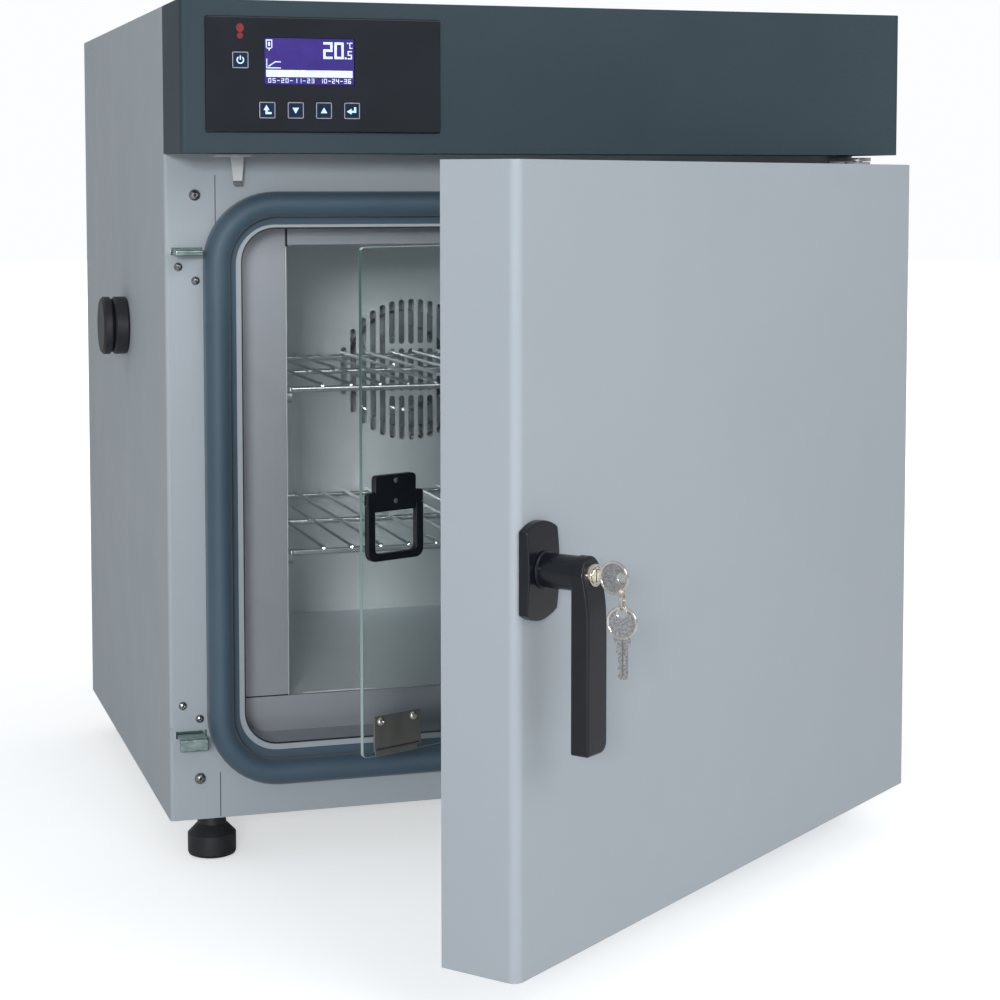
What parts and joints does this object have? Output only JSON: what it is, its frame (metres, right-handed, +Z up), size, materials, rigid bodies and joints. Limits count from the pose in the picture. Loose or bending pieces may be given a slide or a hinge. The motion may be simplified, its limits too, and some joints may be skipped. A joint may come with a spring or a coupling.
{
  "type": "bacteriological incubator",
  "caption": "Bench incubator with a latched insulated door, a glass inner door, wire shelves, a fan behind a slotted baffle and a control header.",
  "frame": {"origin": "middle of the resting part's bounding box, on the floor under the feet", "axes": "+X to the right across the front, +Y from front to back, +Z up"},
  "size_m": [0.6336, 0.9672, 0.679],
  "materials": {
    "casing_paint": "satin",
    "header_paint": "satin",
    "fascia": "gloss",
    "display": "gloss",
    "board": "satin",
    "stainless": "satin",
    "plated_steel": "satin",
    "zinc": "satin",
    "seal_rubber": "matte",
    "black_rubber": "matte",
    "black_plastic": "satin",
    "black_paint": "satin",
    "dark_steel": "satin",
    "chrome": "polished",
    "glass": "polished",
    "wool": "matte",
    "key_plastic": "satin",
    "white_plastic": "satin",
    "aluminium": "satin"
  },
  "bodies": {
    "cabinet": {"casing_left": "casing_paint", "casing_right": "casing_paint", "top_cover": "casing_paint", "base_panel": "zinc", "rear_cover": "casing_paint", "front_frame": "casing_paint", "header_shell": "header_paint", "fascia_panel": "fascia", "display_lcd": "display", "control_board": "board", "power_supply": "zinc", "mains_inlet": "black_plastic", "casing_screws": "zinc", "door_gasket": "seal_rubber", "chamber_liner": "stainless", "port_tube": "stainless", "chamber_frame": "stainless", "floor_plate": "stainless", "insulation": "wool", "fan_baffle": "stainless", "fan_motor": "black_plastic", "heater": "stainless", "temperature_probe": "stainless", "shelf_supports": "stainless", "latch_keepers": "plated_steel", "hinge_upper": "zinc", "hinge_lower": "zinc", "glass_brackets": "zinc", "magnet_catch": "black_plastic"},
    "impeller": {"fan_impeller": "aluminium"},
    "upper_shelf": {"shelf_upper": "stainless"},
    "lower_shelf": {"shelf_lower": "stainless"},
    "plug": {"port_plug": "black_rubber"},
    "vent": {"vent_lever": "white_plastic"},
    "door": {"door_skin": "casing_paint", "door_inner_panel": "casing_paint", "door_insulation": "wool", "hinge_bushes": "white_plastic", "lock_rosette": "black_paint"},
    "latch": {"latch_bar": "zinc"},
    "handle": {"latch_pinion": "zinc", "handle_lever": "black_paint", "lock_cylinder": "chrome"},
    "lock_key": {"lock_plug": "chrome", "key": "chrome"},
    "ring": {"key_ring": "chrome"},
    "spare": {"spare_key": "chrome"},
    "glass_door": {"glass_pane": "glass", "glass_clips": "zinc", "pull_plate": "black_paint", "catch_plate": "dark_steel"},
    "pull": {"pull_ring": "black_paint"},
    "key_power_cap": {"key_power": "key_plastic"},
    "key_back_cap": {"key_back": "key_plastic"},
    "key_down_cap": {"key_down": "key_plastic"},
    "key_up_cap": {"key_up": "key_plastic"},
    "key_enter_cap": {"key_enter": "key_plastic"},
    "foot_front_left_body": {"foot_front_left": "black_rubber"},
    "foot_front_right_body": {"foot_front_right": "black_rubber"},
    "foot_rear_left_body": {"foot_rear_left": "black_rubber"},
    "foot_rear_right_body": {"foot_rear_right": "black_rubber"}
  },
  "joints": [
    {"name": "door_swing", "type": "hinge", "parent": "cabinet", "child": "door", "pos_m": [0.2818, -0.05, 0], "axis": [0, 0, 1], "range_deg": [-38.36, 76.64]},
    {"name": "glass_swing", "type": "hinge", "parent": "cabinet", "child": "glass_door", "pos_m": [0.218, 0.02, 0], "axis": [0, 0, 1], "range_deg": [-22.6, 45.17]},
    {"name": "handle_turn", "type": "hinge", "parent": "door", "child": "handle", "pos_m": [-0.1282, -0.42997, 0.3], "axis": [0.6206, -0.7841, 0], "range_deg": [0, 90]},
    {"name": "latch_slide", "type": "slide", "parent": "door", "child": "latch", "axis": [0, 0, -1], "range_m": [0, 0.0118]},
    {"name": "key_turn", "type": "hinge", "parent": "handle", "child": "lock_key", "pos_m": [-0.1282, -0.42997, 0.3], "axis": [0.6206, -0.7841, 0], "range_deg": [0, 90]},
    {"name": "ring_swing", "type": "hinge", "parent": "lock_key", "child": "ring", "pos_m": [-0.08786, -0.48094, 0.29812], "axis": [-0.7841, -0.6206, 0], "range_deg": [-5, 60]},
    {"name": "spare_swing", "type": "hinge", "parent": "ring", "child": "spare", "pos_m": [-0.08786, -0.48094, 0.28012], "axis": [-0.7841, -0.6206, 0], "range_deg": [-4, 60]},
    {"name": "pull_swing", "type": "hinge", "parent": "glass_door", "child": "pull", "pos_m": [-0.13494, -0.13395, 0.299], "axis": [-0.9232, -0.3843, 0], "range_deg": [0, 30]},
    {"name": "impeller_spin", "type": "hinge", "parent": "cabinet", "child": "impeller", "pos_m": [0.011, 0.4062, 0.358], "axis": [0, 1, 0], "continuous": true},
    {"name": "upper_shelf_slide", "type": "slide", "parent": "cabinet", "child": "upper_shelf", "axis": [0, -1, 0], "range_m": [0, 0.01]},
    {"name": "lower_shelf_slide", "type": "slide", "parent": "cabinet", "child": "lower_shelf", "axis": [0, -1, 0], "range_m": [0, 0.01]},
    {"name": "plug_pull", "type": "slide", "parent": "cabinet", "child": "plug", "axis": [-1, 0, 0], "range_m": [0, 0.055]},
    {"name": "vent_slide", "type": "slide", "parent": "cabinet", "child": "vent", "axis": [1, 0, 0], "range_m": [-0.006, 0.006]},
    {"name": "key_power_press", "type": "slide", "parent": "cabinet", "child": "key_power_cap", "axis": [0, 1, 0], "range_m": [0, 0.0008], "stiffness_N_per_m": 500},
    {"name": "key_back_press", "type": "slide", "parent": "cabinet", "child": "key_back_cap", "axis": [0, 1, 0], "range_m": [0, 0.0008], "stiffness_N_per_m": 500},
    {"name": "key_down_press", "type": "slide", "parent": "cabinet", "child": "key_down_cap", "axis": [0, 1, 0], "range_m": [0, 0.0008], "stiffness_N_per_m": 500},
    {"name": "key_up_press", "type": "slide", "parent": "cabinet", "child": "key_up_cap", "axis": [0, 1, 0], "range_m": [0, 0.0008], "stiffness_N_per_m": 500},
    {"name": "key_enter_press", "type": "slide", "parent": "cabinet", "child": "key_enter_cap", "axis": [0, 1, 0], "range_m": [0, 0.0008], "stiffness_N_per_m": 500},
    {"name": "foot_front_left_turn", "type": "hinge", "parent": "cabinet", "child": "foot_front_left_body", "pos_m": [-0.257, 0.015, 0], "axis": [0, 0, 1], "continuous": true},
    {"name": "foot_front_right_turn", "type": "hinge", "parent": "cabinet", "child": "foot_front_right_body", "pos_m": [0.257, 0.015, 0], "axis": [0, 0, 1], "continuous": true},
    {"name": "foot_rear_left_turn", "type": "hinge", "parent": "cabinet", "child": "foot_rear_left_body", "pos_m": [-0.257, 0.445, 0], "axis": [0, 0, 1], "continuous": true},
    {"name": "foot_rear_right_turn", "type": "hinge", "parent": "cabinet", "child": "foot_rear_right_body", "pos_m": [0.257, 0.445, 0], "axis": [0, 0, 1], "continuous": true}
  ],
  "couplings": [
    {"joint": "glass_swing", "follows": "door_swing", "ratio": 0.58915},
    {"joint": "latch_slide", "follows": "handle_turn", "m_per_rad": 0.0075}
  ]
}
